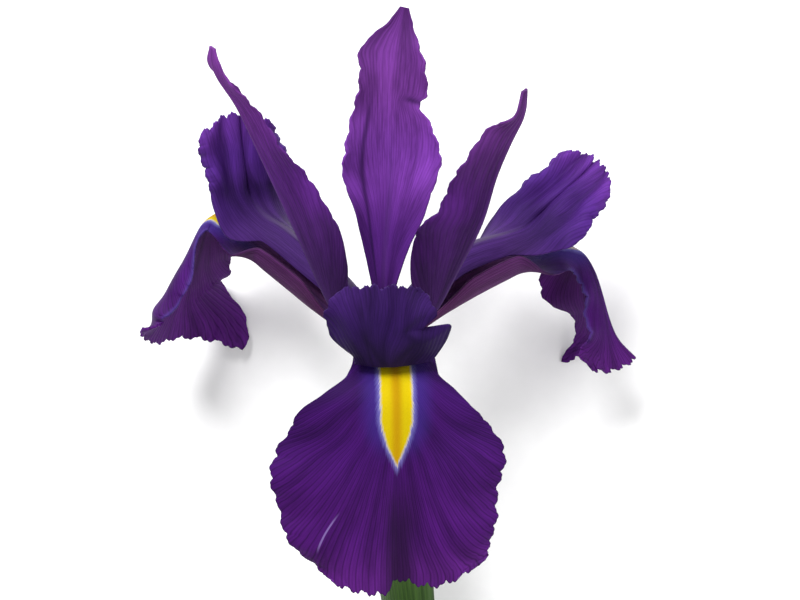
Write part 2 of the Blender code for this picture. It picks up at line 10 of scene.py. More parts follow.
import bpy
import numpy as np
from mathutils import Euler, Matrix, Vector


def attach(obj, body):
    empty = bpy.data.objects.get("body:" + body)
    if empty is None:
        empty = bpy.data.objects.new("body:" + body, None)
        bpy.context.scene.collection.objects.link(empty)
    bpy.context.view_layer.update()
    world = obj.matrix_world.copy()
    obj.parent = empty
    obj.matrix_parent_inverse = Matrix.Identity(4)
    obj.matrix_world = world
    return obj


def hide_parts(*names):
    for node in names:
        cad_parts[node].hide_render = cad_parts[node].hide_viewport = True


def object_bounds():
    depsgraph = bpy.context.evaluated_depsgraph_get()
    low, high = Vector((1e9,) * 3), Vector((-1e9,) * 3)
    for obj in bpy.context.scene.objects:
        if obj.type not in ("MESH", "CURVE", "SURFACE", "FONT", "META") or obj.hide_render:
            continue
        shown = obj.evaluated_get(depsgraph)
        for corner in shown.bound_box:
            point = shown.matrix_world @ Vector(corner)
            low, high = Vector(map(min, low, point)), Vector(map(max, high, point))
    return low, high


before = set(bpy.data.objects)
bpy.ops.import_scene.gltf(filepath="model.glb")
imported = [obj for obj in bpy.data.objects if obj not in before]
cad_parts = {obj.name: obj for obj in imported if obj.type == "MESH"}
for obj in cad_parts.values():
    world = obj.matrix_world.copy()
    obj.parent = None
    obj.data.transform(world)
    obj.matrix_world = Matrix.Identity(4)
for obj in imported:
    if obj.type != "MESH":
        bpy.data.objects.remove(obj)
cad_low, cad_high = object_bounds()

MM = 0.001
TANGENT_REACH = 0.6  # distance over which the direction of a midrib is taken
TOOTH_SEED = 7  # seed of the waves that make the scallops uneven
NICKS = 2.7  # fine nicks to a scallop of the margin
TIP_START = 0.9  # station from which the margin of the tip is toothed

# Driving dimensions of the flower, the same as the solids'.
BASE_UP = -2.0
TUBE_TOP = BASE_UP - 0.5
TUBE_RADIUS = 5.3
OVARY_LENGTH = 27.0
STEM_RADIUS = 3.3
STEM_END = -95.0
STEM_DRIFT = 10.0
STEM_BOW = 4.0
NODE_UP = -63.0
GAP = 0.3

# How the flower lies: angles in degrees, then the shift to the middle of its footprint.
LIE_TILT = 25.8
LIE_ROLL = -3.8
LIE_SHIFT = (-3.13, 11.36, 40.54)

# Turn of each piece round the stem, in degrees: 0 is the front, positive turns to the right.
FRONT, RIGHT, LEFT, BACK = 0.0, 120.0, -120.0, 180.0
STANDARD_RIGHT, STANDARD_LEFT = 60.0, -60.0
FRONT_FALL_TURN = 3.0

# The camera: distance from the perianth's base, height over the horizon of the standing flower, and the
# place that it looks at, right of and above the base as the picture sees it.
CAMERA_DISTANCE = 500.0
CAMERA_HEIGHT = 28.0
AIM_RIGHT, AIM_UP = 3.4, 9.0
LENS_MM = 112.5


def srgb(code):
    """Linear colour of a hex code."""
    parts = [int(code[i : i + 2], 16) / 255 for i in (0, 2, 4)]
    return tuple(p / 12.92 if p <= 0.04045 else ((p + 0.055) / 1.055) ** 2.4 for p in parts)


# ---- the form of a petal


def hermite(stations, values, tangents, at):
    """Cubic curve through the values with the tangents given, at the places at."""
    step = np.diff(stations)
    i = np.clip(np.searchsorted(stations, at, side="right") - 1, 0, len(step) - 1)
    t = (at - stations[i]) / step[i]
    span = step[i]
    if values.ndim > 1:
        t, span = t[:, None], span[:, None]
    start = (1 + 2 * t) * (1 - t) ** 2 * values[i] + t * (1 - t) ** 2 * span * tangents[i]
    end = t**2 * (3 - 2 * t) * values[i + 1] - t**2 * (1 - t) * span * tangents[i + 1]
    return start + end


def eased(knots, at):
    """Values at the given stations of a smooth curve through (station, value) knots, without overshoot."""
    stations, values = np.array(knots, float).T
    slope = np.diff(values) / np.diff(stations)
    tangents = np.concatenate([slope[:1], slope[1:], slope[-1:]])
    monotone = slope[:-1] * slope[1:] > 0
    total = np.where(monotone, slope[:-1] + slope[1:], 1.0)
    tangents[1:-1] = np.where(monotone, 2 * slope[:-1] * slope[1:] / total, 0.0)
    return hermite(stations, values, tangents, np.clip(at, stations[0], stations[-1]))


def smooth_line(points, count=400, passes=120):
    """A dense smooth line through (out, up, side) points, with the length run at each of its points."""
    knots = np.array([tuple(p) + (0.0,) * (3 - len(p)) for p in points], float)
    chord = np.sqrt(np.linalg.norm(np.diff(knots, axis=0), axis=1))
    stations = np.concatenate([[0.0], np.cumsum(chord)])
    slope = np.diff(knots, axis=0) / chord[:, None]
    share = (chord[1:] / (chord[1:] + chord[:-1]))[:, None]
    middle = slope[:-1] * share + slope[1:] * (1 - share)
    tangents = np.concatenate([slope[:1], middle, slope[-1:]])
    line = hermite(stations, knots, tangents, np.linspace(0.0, stations[-1], count))
    for _ in range(passes):
        line[1:-1] = 0.25 * line[:-2] + 0.5 * line[1:-1] + 0.25 * line[2:]
    run = np.concatenate([[0.0], np.cumsum(np.linalg.norm(np.diff(line, axis=0), axis=1))])
    return run, line


def ripple(s, v, seed):
    """A smooth uneven field between about -1 and 1, from a few crossing waves."""
    phase = np.random.default_rng(seed).uniform(0, 2 * math.pi, 4)
    waves = ((3.1, 1.3), (5.3, -2.1), (7.9, 3.2), (12.7, -1.2))
    total = sum(np.sin(a * 2 * s + b * 2 * v + p) for (a, b), p in zip(waves, phase))
    return total / len(waves)


class Blade:
    """A petal-like sheet, described along its midrib from base (station 0) to tip (station 1).

    A course is a number, (station, value) knots, or a pair of those for the left and the right half.
    Lengths are in millimetres and angles in radians, towards the upper face:
      half_width        reach of each half, measured along the sheet
      keel, curl, roll  angle at the midrib, bend over the half width, and bend close to the margin
      twist             turn of the section about the midrib
      sag, cleft        how far the margin, or the middle, is drawn back along the midrib
      wave, pleat       height of the ripples along the margin, and of the folds beside the midrib
      tooth             depth of the scallops along the margin; end_tooth is the same for the tip
    """

    def __init__(self, midrib, half_width, **courses):
        self.midrib = midrib
        self.sag_power = courses.pop("sag_power", 2.0)
        self.cleft_width = courses.pop("cleft_width", (0.12, 0.12))
        self.wave_count = courses.pop("wave_count", 6.0)
        self.wave_phase = courses.pop("wave_phase", (0.0, 2.0))
        self.tooth_count = courses.pop("tooth_count", 24.0)
        self.end_tooth = courses.pop("end_tooth", 0.0)
        self.courses = {"half_width": half_width, **courses}

    def course(self, name, station, left):
        """Values of a course at the stations, each from its own half; 0 for a course not given."""
        value = self.courses.get(name, 0.0)
        halves = value if isinstance(value, tuple) else (value, value)
        along = [np.full_like(station, h) if np.isscalar(h) else eased(h, station) for h in halves]
        return np.where(left, along[0], along[1])

    def outline(self, s, v, left):
        """Distance along the midrib and half width for stations s and places v across, -1 to 1."""
        run, _ = smooth_line(self.midrib)
        across = np.abs(v)
        along = s * run[-1]
        along = along - self.course("sag", s, left) * across**self.sag_power
        notch = v / np.where(left, *self.cleft_width)
        along = along - self.course("cleft", s, left) * np.exp(-(notch**2))
        width = self.course("half_width", s, left)
        uneven = 1 + 0.5 * ripple(3 * s, np.sign(v), TOOTH_SEED)
        scallop = np.abs(np.sin(math.pi * self.tooth_count * s)) - 0.5
        nick = np.abs(np.sin(math.pi * self.tooth_count * NICKS * s + 0.8)) - 0.5
        edge = self.course("tooth", s, left) * uneven * (scallop + 0.3 * nick)
        width = width + across**8 * edge
        end = np.clip((s - TIP_START) / (1 - TIP_START), 0.0, 1.0) ** 2
        jag = np.abs(np.sin(math.pi * (4.5 * v + 0.3))) + 0.5 * np.abs(np.sin(math.pi * 13 * v)) - 0.75
        return along + self.end_tooth * end * jag, width

    def section(self, s, v, left, width):
        """Offsets sideways and towards the upper face, found by walking out from the midrib."""
        across = np.abs(v)
        angle = self.course("keel", s, left) + self.course("curl", s, left) * across
        angle = angle + self.course("roll", s, left) * across**4
        step = v[0, 1] - v[0, 0]
        side = np.zeros_like(s)
        rise = np.zeros_like(s)
        middle = v.shape[1] // 2
        for j in range(1, middle + 1):
            for here, inner in ((middle + j, middle + j - 1), (middle - j, middle - j + 1)):
                mean = 0.5 * (angle[:, here] + angle[:, inner])
                side[:, here] = side[:, inner] + np.sign(here - middle) * np.cos(mean) * step
                rise[:, here] = rise[:, inner] + np.sin(mean) * step
        outward = np.where(left, -1.0, 1.0)
        phase = np.where(left, *self.wave_phase)
        wave = self.course("wave", s, left) * across**2.5
        wave = wave * np.sin(2 * math.pi * self.wave_count * s + phase)
        wave = wave + self.course("pleat", s, left) * np.sin(3 * math.pi * across)
        side = side * width - outward * np.sin(angle) * wave
        rise = rise * width + np.cos(angle) * wave
        return side, rise

    def surface(self, rows, columns):
        """Fields on a grid of rows along the blade and columns across it; place is in its own frame."""
        s, v = np.meshgrid(np.asarray(rows, float), np.linspace(-1.0, 1.0, columns), indexing="ij")
        left = v < 0
        along, width = self.outline(s, v, left)
        side, rise = self.section(s, v, left, width)
        run, line = smooth_line(self.midrib)
        held = np.clip(along, 0.0, run[-1])

        def on_midrib(distance):
            """The points of the midrib at a distance from its base."""
            return np.stack([np.interp(distance, run, line[:, k]) for k in range(3)], -1)

        ahead = on_midrib(np.minimum(held + TANGENT_REACH, run[-1]))
        tangent = ahead - on_midrib(np.maximum(held - TANGENT_REACH, 0.0))
        tangent /= np.linalg.norm(tangent, axis=-1, keepdims=True)
        across = np.array([0.0, 0.0, 1.0]) - tangent * tangent[..., 2:3]
        across /= np.linalg.norm(across, axis=-1, keepdims=True)
        upper = np.cross(across, tangent)
        twist = self.course("twist", held / run[-1], left)[..., None]
        across, upper = (
            across * np.cos(twist) + upper * np.sin(twist),
            upper * np.cos(twist) - across * np.sin(twist),
        )
        place = on_midrib(held) + across * side[..., None] + upper * rise[..., None]
        place = place + tangent * (along - held)[..., None]
        return {
            "place": np.stack([place[..., 2], -place[..., 0], place[..., 1]], -1),
            "along": along,
            "across": v * width,
            "s": s,
            "v": v,
            "edge": width * (1 - np.abs(v)),
        }


# ---- the pieces' own shapes


def stem_axis(up):
    """Middle of the stem at a height below the flower, as (x, y)."""
    depth = np.maximum(-np.asarray(up, float), 0.0) / -STEM_END
    return STEM_DRIFT * depth**1.15, -STEM_BOW * depth**2


# Falls: a channelled haft rises outwards, bends over and hangs as a broad scalloped blade.
HAFT = [(4.6, BASE_UP), (5.3, 0), (8.5, 1.6), (14, 4.2), (24, 9.5), (33, 14.5)]
HAFT_WIDTH = [(0, 2.5), (0.06, 3.2), (0.14, 5.4), (0.25, 7.4), (0.38, 7.8)]
HAFT_CURL = [(0, 0.6), (0.08, 1.2), (0.25, 1.8), (0.38, 1.3)]
FALL_EDGE = {
    "wave_count": 7.0,
    "wave_phase": (0.3, 1.2),
    "tooth": [(0, 0), (0.56, 0), (0.66, 0.6), (1, 0.7)],
    "end_tooth": 1.0,
}

# The near half of a rear fall's haft stands up as a wall against the style arm.
WALL_WIDTH = [(0, 2.5), (0.06, 3.2), (0.14, 6.0), (0.24, 10.4), (0.34, 10.6), (0.41, 8.8)]
WALL_CURL = [(0, 0.6), (0.08, 1.2), (0.25, 1.5), (0.38, 1.45)]
WALL_KEEL = [(0, 0), (0.1, 0), (0.25, 0.15), (0.38, 0.15), (0.46, 0)]


def front_fall():
    """The fall that faces the viewer: it hangs nearly flat, with a notch at its right end."""
    neck = HAFT_WIDTH + [(0.45, 7.6)]
    left = [(0.5, 8.8), (0.54, 13), (0.59, 17.8), (0.65, 20), (0.7, 22.5), (0.76, 23.2), (0.85, 21.6)]
    right = [(0.5, 7.8), (0.54, 10.8), (0.59, 14.2), (0.65, 18), (0.71, 20.2), (0.79, 19.4), (0.88, 18.2)]
    hanging = [(39, 16.8), (43.4, 16.8), (46.6, 14), (47.8, 8), (48, 0), (48.4, -8), (49.4, -16)]
    return Blade(
        HAFT + hanging + [(51, -25)],
        (neck + left + [(0.92, 18.6), (1, 13)], neck + right + [(0.96, 17.6), (1, 15)]),
        keel=[(0, 0), (0.62, 0), (0.82, 0.25), (1, 0.4)],
        curl=HAFT_CURL + [(0.48, 0), (0.62, -0.35), (0.82, -0.65), (1, -0.8)],
        sag=([(0, 0), (0.6, 0.5), (0.9, 1.4), (1, 3.0)], [(0, 0), (0.6, 0.5), (0.9, 2.0), (1, 5.6)]),
        cleft=[(0, 0), (0.86, 0), (1, 2.8)],
        cleft_width=(0.12, 0.38),
        wave=[(0, 0), (0.52, 0), (0.66, 0.7), (1, 0.8)],
        **FALL_EDGE,
    )


def rear_fall(midrib, near, far, mirrored):
    """A rear fall from the courses of its near and its far half beyond the haft, 0 where none is given.

    The near half is the one towards the front of the flower; mirrored is for the fall on the right.
    """
    none = [(0, 0), (0.44, 0)]
    far_haft = {"half_width": HAFT_WIDTH, "curl": HAFT_CURL, "keel": none, "roll": none, "sag": none}
    near_haft = dict(far_haft, half_width=WALL_WIDTH, curl=WALL_CURL, keel=WALL_KEEL)
    halves = ((far_haft, far), (near_haft, near))
    pairs = {}
    for name in far_haft:
        pair = [haft[name] + half.get(name, [(1, 0)]) for haft, half in halves]
        pairs[name] = tuple(pair[::-1] if mirrored else pair)
    return Blade(
        midrib,
        pairs.pop("half_width"),
        wave=[(0, 0), (0.64, 0), (0.76, 0.8), (1, 1.2)],
        sag_power=1.3,
        **FALL_EDGE,
        **pairs,
    )


def left_fall():
    """The left rear fall: its near margin rolls under, and its far half flares at the end."""
    hanging = [(36.2, 17.4), (39, 19.4), (41, 18.2, 0.6), (42.6, 13.8, 1.8), (44.2, 7.6, 3.2), (46, 1, 4.6)]
    near = {
        "half_width": [(0.47, 5.8), (0.53, 4.6), (0.61, 5.2), (0.7, 9.6), (0.79, 16.4), (0.88, 19), (1, 18)],
        "curl": [(0.45, 0.3), (0.53, -0.3), (0.62, -0.8), (0.7, -0.7), (0.8, -0.3), (1, -0.2)],
        "roll": [(0.63, 0), (0.72, -1.4), (0.79, -1.8), (0.86, -1.4), (1, -0.5)],
        "sag": [(0.66, 0), (0.8, 2.2), (0.9, 6.4), (1, 10.5)],
    }
    far = {
        "half_width": [(0.51, 8.6), (0.59, 11), (0.66, 13), (0.75, 14.4), (0.84, 18.5), (0.95, 24), (1, 22)],
        "curl": [(0.49, 0.2), (0.61, -0.7), (0.72, -0.5), (0.8, -0.1), (0.88, 0.0), (1, -1.1)],
        "sag": [(0.6, 0.5), (0.85, 0), (0.95, -1.8), (1, -2.2)],
    }
    return rear_fall(HAFT + hanging + [(48, -4.4, 5.6), (49.6, -9.4, 6.4)], near, far, mirrored=False)


def right_fall():
    """The right rear fall: its near half is folded right back behind a narrow near face."""
    haft = [(4.6, BASE_UP), (5.3, 0), (8.5, 2), (13, 4.2), (24, 7.4), (36, 10)]
    hanging = [(42, 11.4), (46.6, 9.8, -0.6), (49.2, 5.6, -1.8), (50.8, 0, -3.0), (51.8, -5, -4.2)]
    near_width = [(0.46, 6.8), (0.52, 5.6), (0.6, 4.8), (0.7, 4.4), (0.82, 5.8), (0.92, 8.6), (1, 11.5)]
    near = {
        "half_width": near_width,
        "curl": [(0.44, 0.3), (0.52, -0.5), (0.62, -0.6), (0.8, -0.3), (1, -0.1)],
        "keel": [(0.52, -0.2), (0.6, -0.7), (0.7, -1.1), (1, -1.15)],
        "sag": [(0.66, 0), (0.85, 1.6), (1, 7.6)],
    }
    far = {
        "half_width": [(0.52, 8.6), (0.6, 11), (0.67, 15), (0.75, 17), (0.84, 15), (0.93, 17), (1, 22.5)],
        "curl": [(0.5, -0.1), (0.64, -0.6), (0.76, -0.7), (0.85, -0.2), (0.92, -0.2), (1, -1.0)],
        "sag": [(0.6, 0.5), (0.68, -0.6), (0.8, -1.6), (0.9, -0.5), (1, 2.4)],
    }
    return rear_fall(haft + hanging + [(53.2, -10, -5.8), (56.8, -14.6, -7.6)], near, far, mirrored=True)


# Standards: narrow claws that widen into upright, pointed blades.
CLAW_WIDTH = [(0, 1.2), (0.1, 1.5)]
STANDARD_EDGE = {
    "wave_count": 5.0,
    "tooth": [(0, 0), (0.4, 0), (0.55, 0.5), (0.9, 0.5), (1, 0)],
    "tooth_count": 17.0,
}


def back_standard():
    """The standard behind the flower, stepped in below its tip; left and right are the viewer's."""
    right = [(0.17, 2.4), (0.29, 4.8), (0.41, 7.8), (0.5, 9.2), (0.57, 9.9), (0.63, 9.4), (0.68, 7.8)]
    left = [(0.17, 2.4), (0.29, 4.5), (0.38, 6.5), (0.47, 8.9), (0.55, 10.2), (0.61, 9.7), (0.66, 8.5)]
    return Blade(
        [(3.6, BASE_UP), (5, 3), (7, 10, -0.2), (10, 20, -0.6), (12.4, 33, -1.6), (14, 46, -1.8)]
        + [(16, 57, -2.6), (19, 64.5, -4.2)],
        (
            CLAW_WIDTH + right + [(0.73, 5.1), (0.755, 6.8), (0.85, 6.4), (0.9, 4.4), (0.95, 2.4), (1, 0.9)],
            CLAW_WIDTH + left + [(0.72, 7.5), (0.78, 7.3), (0.86, 7.2), (0.91, 4.8), (0.95, 2.6), (1, 0.9)],
        ),
        keel=0.1,
        curl=0.4,
        wave=[(0, 0), (0.3, 0), (0.5, 0.7), (0.9, 0.8), (1, 0)],
        **STANDARD_EDGE,
    )


def side_standard(midrib, half_width):
    """A standard at the side, keeled along its midrib so that it faces inwards."""
    return Blade(
        midrib,
        half_width,
        keel=[(0, 0.2), (0.2, 0.6), (0.85, 0.55), (1, 0.0)],
        curl=[(0, 0.4), (0.85, 0.4), (1, 0.0)],
        wave=[(0, 0), (0.3, 0), (0.5, 0.6), (0.9, 0.8), (1, 0)],
        **STANDARD_EDGE,
    )


def left_standard():
    """The slender standard on the left, which leans outwards."""
    midrib = [(3.6, BASE_UP), (5.2, 2.5), (10.9, 10), (18.4, 27.7), (25.7, 45.3), (31.2, 58.2), (34.6, 64)]
    width = [(0.2, 3.6), (0.33, 7.4), (0.45, 8.8), (0.6, 7), (0.72, 4.6), (0.85, 2.7), (0.94, 2.2), (1, 0.9)]
    return side_standard(midrib + [(35.8, 67.6), (35.6, 70.4)], CLAW_WIDTH + width)


def right_standard():
    """The broader standard on the right, whose halves differ."""
    midrib = [(3.6, BASE_UP), (5.5, 2), (12, 11), (16.3, 20), (21.8, 32.3), (24.6, 42.4), (27.5, 50)]
    far = [(0.2, 3.6), (0.33, 8.5), (0.45, 11), (0.6, 9), (0.72, 6.5), (0.85, 4.5), (1, 0.9)]
    near = [(0.2, 3.4), (0.33, 8.6), (0.42, 11), (0.52, 12), (0.6, 9.4), (0.72, 8.2), (0.85, 5.8), (0.93, 3)]
    midrib = midrib + [(30, 56), (30, 61)]
    return side_standard(midrib, (CLAW_WIDTH + near + [(1, 0.9)], CLAW_WIDTH + far))


# Style arms: petal-like roofs over the hafts, which end in an upright crest of two toothed lobes.
ARM_BASE = [(1.6, BASE_UP), (1.9, 4), (4, 8.5), (9, 13), (15, 16.5)]
ARM_WIDTH = [(0, 1.5), (0.1, 1.9), (0.22, 4.0)]
BROAD_SIDE = ARM_WIDTH + [(0.34, 6.3), (0.5, 7.6), (0.6, 8.2)]
SLIM_SIDE = ARM_WIDTH + [(0.34, 5.2), (0.46, 5.2), (0.57, 5.0)]


def style_arm(midrib, half_width, lip, roof, fold, pleat, **courses):
    """A style arm whose section is roofed by the curl roof, and whose crest turns up at the station lip.

    fold holds the curl of the lip, then the keel and the curl that crease the crest between its lobes.
    """
    keel = 0.45 * roof
    brim, crease, flare = fold
    high = lip + 0.12
    return Blade(
        ARM_BASE + midrib,
        half_width,
        keel=[(0, -0.2), (0.2, keel), (lip - 0.12, keel), (lip - 0.02, 0), (high, crease), (1, crease)],
        curl=[(0, -0.5), (0.2, roof), (lip - 0.16, roof), (lip, brim), (high, flare), (1, flare)],
        wave=[(0, 0), (lip, 0), (lip + 0.14, 0.7), (1, 0.7)],
        wave_phase=(0.5, 2.6),
        tooth=[(0, 0), (lip + 0.06, 0), (lip + 0.2, 0.7), (1, 0.6)],
        pleat=[(0, 0), (lip, 0), (lip + 0.16, pleat), (1, 0.6 * pleat)],
        tooth_count=21.0,
        **courses,
    )


def front_arm():
    """The front style arm: its crest stands against the viewer, with a spur on its right."""
    left = [(0.68, 6.0), (0.75, 5.0), (0.81, 8.0), (0.86, 10.2), (0.92, 10.6), (0.96, 9.8), (1, 8.0)]
    right = [(0.7, 8.2), (0.75, 9.4), (0.79, 11), (0.835, 12.6), (0.88, 7.2), (0.93, 9.8), (1, 7.4)]
    crest = [(24, 21), (33, 22.8), (39.5, 22.2), (44.2, 18.8), (45.8, 22.2), (46.5, 28), (47.1, 37.2)]
    return style_arm(
        crest,
        (BROAD_SIDE + left, BROAD_SIDE + right),
        lip=0.775,
        roof=-0.4,
        fold=(0.45, -0.5, 1.0),
        pleat=0.4,
        sag=(
            [(0, 0), (0.68, 0), (0.75, -1.2), (0.82, -0.6), (1, 1.4)],
            [(0, 0), (0.68, 0), (0.76, -0.8), (0.8, -1.4), (0.835, -3.0), (0.885, 0), (1, 1.4)],
        ),
        sag_power=3.0,
        cleft=[(0, 0), (0.88, 0), (1, 1.2)],
        end_tooth=0.6,
    )


def rear_arm(midrib, half_width, twist):
    """A rear style arm, with a deeply roofed section and a crest pleated between its lobes."""
    return style_arm(
        midrib,
        half_width,
        lip=0.66,
        roof=-0.8,
        fold=(-0.3, 0.8, -1.1),
        pleat=1.1,
        sag=[(0, 0), (0.66, 0), (1, 3.0)],
        cleft=[(0, 0), (0.74, 0), (1, 2.4)],
        end_tooth=0.9,
        twist=twist,
    )


def left_arm():
    """The left rear style arm: its crest stands upright."""
    far = ARM_WIDTH + [(0.34, 6.3), (0.48, 8), (0.57, 10), (0.7, 9.4), (0.83, 9), (0.93, 8), (1, 6.6)]
    near = SLIM_SIDE + [(0.65, 9.6), (0.72, 9.2), (0.82, 8.8), (0.93, 9.8), (1, 8.6)]
    crest = [(22.6, 20.6), (28, 22.4), (31, 26), (32.3, 32), (32.8, 38), (33, 44)]
    return rear_arm(crest, (far, near), [(0, 0), (0.55, 0), (0.75, -0.6), (1, -0.8)])


def right_arm():
    """The right rear style arm: its crest leans far out."""
    near = SLIM_SIDE + [(0.66, 8.8), (0.74, 12.4), (0.8, 12), (0.87, 10.2), (0.94, 9.4), (1, 7.4)]
    far = BROAD_SIDE + [(0.7, 7.4), (0.82, 7.2), (0.93, 7), (1, 5.8)]
    crest = [(21.7, 17.8), (31.7, 18), (37, 20), (42, 23), (46.6, 26), (50.4, 29)]
    return rear_arm(crest, (near, far), [(0, 0), (0.55, 0), (0.75, 0.4), (1, 0.5)])


# Spathe: two bracts that sheathe the ovary and the top of the stem.
INNER_TURN, OUTER_TURN = 100.0, -60.0
OPENING = 25.0  # length over which a bract opens out from the node


def bract(turn, radii, top, wrap):
    """A bract from the stem node up to top, wrapped round the stem's axis.

    radii are those at the node and where it has opened out; wrap is the angle of its half width in radians.
    """
    low_radius, high_radius = radii
    ups = np.linspace(NODE_UP, top, 7)
    reach = np.interp(ups, [NODE_UP, NODE_UP + OPENING, top], [low_radius, high_radius, high_radius])
    x, y = stem_axis(ups)
    angle = math.radians(turn)
    out = x * math.sin(angle) - y * math.cos(angle) + reach
    side = x * math.cos(angle) + y * math.sin(angle)
    widest = wrap * high_radius
    return Blade(
        list(zip(out, ups, side)),
        [(0, wrap * low_radius), (0.4, widest), (0.65, 0.8 * widest), (0.85, 0.4 * widest), (1, 0.5)],
        curl=[(0, wrap), (0.4, wrap), (0.65, 0.8 * wrap), (0.85, 0.4 * wrap), (1, 0.1)],
    )


# ---- meshes

# Grid of each kind of sheet: stations of its rows, closer where the blade is broad, and points across.
FALL_GRID = (np.concatenate([np.linspace(0.0, 0.46, 60), np.linspace(0.46, 1.0, 151)[1:]]), 151)
STANDARD_GRID = (np.linspace(0.0, 1.0, 210), 71)
ARM_GRID = (np.concatenate([np.linspace(0.0, 0.58, 60), np.linspace(0.58, 1.0, 111)[1:]]), 91)
BRACT_GRID = (np.linspace(0.0, 1.0, 110), 81)
STALK_SIDES, STAMEN_SIDES = 72, 32

# Veins of each kind of sheet: the station where they start to fan, how fast, how they crowd at the midrib,
# how many to a half and, where given, how far they wander.
FALL_VEINS = (0.47, 5.0, 0.08, 44)
STANDARD_VEINS = (0.2, 2.2, 0.35, 15)
ARM_VEINS = (0.62, 1.0, 0.25, 18, 0.03)
CREST_VEINS = (0.76, 4.5, 0.3, 18, 0.06)
BRACT_VEINS = (0.4, 1.0, 0.6, 14)
ARM_REACH = 8.0  # distance from the midrib within which a style arm has its number of veins
VEIN_RELIEF = 0.05  # height of a vein over its face
RIB_THICK, MARGIN_THICK = 0.75, 0.42  # thickness of a sheet at the base of its midrib and at its margin


def plant_place():
    """Matrix that lays the flower down, from its own millimetres to the scene's metres."""
    turn = Euler((math.radians(LIE_TILT - 90.0), 0.0, math.radians(LIE_ROLL)), "ZXY").to_matrix().to_4x4()
    return Matrix.Translation([MM * shift for shift in LIE_SHIFT]) @ turn @ Matrix.Scale(MM, 4)


def add_piece(node, points, faces, fields, turn, material):
    """A smooth mesh object in place of a CAD node; fields are values at its points, by name."""
    place = np.array(plant_place() @ Matrix.Rotation(math.radians(turn), 4, "Z"))
    world = points @ place[:3, :3].T + place[:3, 3]
    mesh = bpy.data.meshes.new(node + "_look")
    mesh.from_pydata(world.tolist(), [], faces)
    mesh.shade_smooth()
    for name, values in fields.items():
        layer = mesh.attributes.new(name, "FLOAT", "POINT")
        layer.data.foreach_set("value", np.ascontiguousarray(values, np.float32))
    mesh.materials.append(material)
    piece = bpy.data.objects.new(node + "_look", mesh)
    bpy.context.scene.collection.objects.link(piece)
    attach(piece, "root")
    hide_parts(node)


def smooth_step(value, low, high):
    """0 where value is at low, 1 where it is at high, eased between; low may be the larger one."""
    share = np.clip((value - low) / (high - low), 0.0, 1.0)
    return share * share * (3 - 2 * share)


def bell(value, width):
    """1 where value is 0, fading over the width to either side."""
    return np.exp(-((value / width) ** 2))


def vein_field(s, v, start, fan, core, count, sway=0.0):
    """Which vein a point lies on: whole numbers are veins, counted out from the midrib.

    The veins run along the blade up to the station start and then fan out; they crowd within core, and
    wander by sway of the half width.
    """
    past = np.clip(s - start, 0.0, None)
    label = (v + sway * np.sin(25 * past + 4 * v)) * np.exp(-fan * past)
    return count * np.arcsinh(label / core) / math.asinh(1 / core)


def face_offsets(middle, field):
    """Steps from a sheet's middle surface to its upper and under faces, with the relief of its veins.

    The relief fades where the veins are too fine for the grid.
    """
    upper = np.cross(np.gradient(middle, axis=0), np.gradient(middle, axis=1))
    upper /= np.linalg.norm(upper, axis=-1, keepdims=True)
    body = (1 - np.abs(field["v"]) ** 1.5) * np.interp(field["s"], [0, 0.5, 1], [1, 0.6, 0.1])
    half = 0.5 * (MARGIN_THICK + (RIB_THICK - MARGIN_THICK) * body)
    pace = np.hypot(*(np.gradient(field["vein"], axis=k) for k in (0, 1)))
    swell = VEIN_RELIEF * np.cos(2 * math.pi * field["vein"]) * np.clip(1.4 - 4 * pace, 0, 1)
    return upper * (half + swell)[..., None], upper * (swell - half)[..., None]


def closed_faces(high, wide):
    """Faces of a thin solid between two grids of high by wide points, joined round their border."""
    number = np.arange(high * wide).reshape(high, wide)
    quads = np.stack([number[:-1, :-1], number[1:, :-1], number[1:, 1:], number[:-1, 1:]], -1)
    quads = quads.reshape(-1, 4)
    border = np.concatenate([number[0, :-1], number[:-1, -1], number[-1, :0:-1], number[:0:-1, 0]])
    after = np.roll(border, -1)
    shift = high * wide
    rim = np.stack([border, after, after + shift, border + shift], 1)
    return np.concatenate([quads, quads[:, ::-1] + shift, rim]).tolist()


def sheet(node, blade, grid, turn, material, veins, reach=None, marks=None):
    """A petal as a closed thin solid: its upper and lower faces, joined round the edge.

    Its veins follow the outline; if reach is given they keep their distance, the counted ones within it.
    marks holds functions of the other fields that give further ones.
    """
    field = blade.surface(*grid)
    middle = field.pop("place")
    label = field["v"] if reach is None else field["across"] / reach
    field["vein"] = vein_field(field["s"], label, *veins)
    field.update({name: mark(field) for name, mark in (marks or {}).items()})
    over, under = face_offsets(middle, field)
    points = np.concatenate([(middle + over).reshape(-1, 3), (middle + under).reshape(-1, 3)])
    fields = {name: np.concatenate([values.ravel()] * 2) for name, values in field.items()}
    fields["upper"] = np.repeat([1.0, 0.0], len(points) // 2)
    add_piece(node, points, closed_faces(*middle.shape[:2]), fields, turn, material)


def loft(node, rings, fields, turn, material):
    """A closed solid through rings of points, with a middle point in each flat end."""
    count, sides = rings.shape[:2]
    number = np.arange(count * sides).reshape(count, sides)
    ahead = np.roll(number, -1, axis=1)
    walls = np.stack([number[:-1], ahead[:-1], ahead[1:], number[1:]], -1).reshape(-1, 4)
    low, high = count * sides, count * sides + 1
    bottom = [[low, int(b), int(a)] for a, b in zip(number[0], ahead[0])]
    lid = [[high, int(a), int(b)] for a, b in zip(number[-1], ahead[-1])]
    points = np.concatenate([rings.reshape(-1, 3), [rings[0].mean(0), rings[-1].mean(0)]])
    spread = {n: np.concatenate([f.ravel(), [f[0].mean(), f[-1].mean()]]) for n, f in fields.items()}
    add_piece(node, points, walls.tolist() + bottom + lid, spread, turn, material)


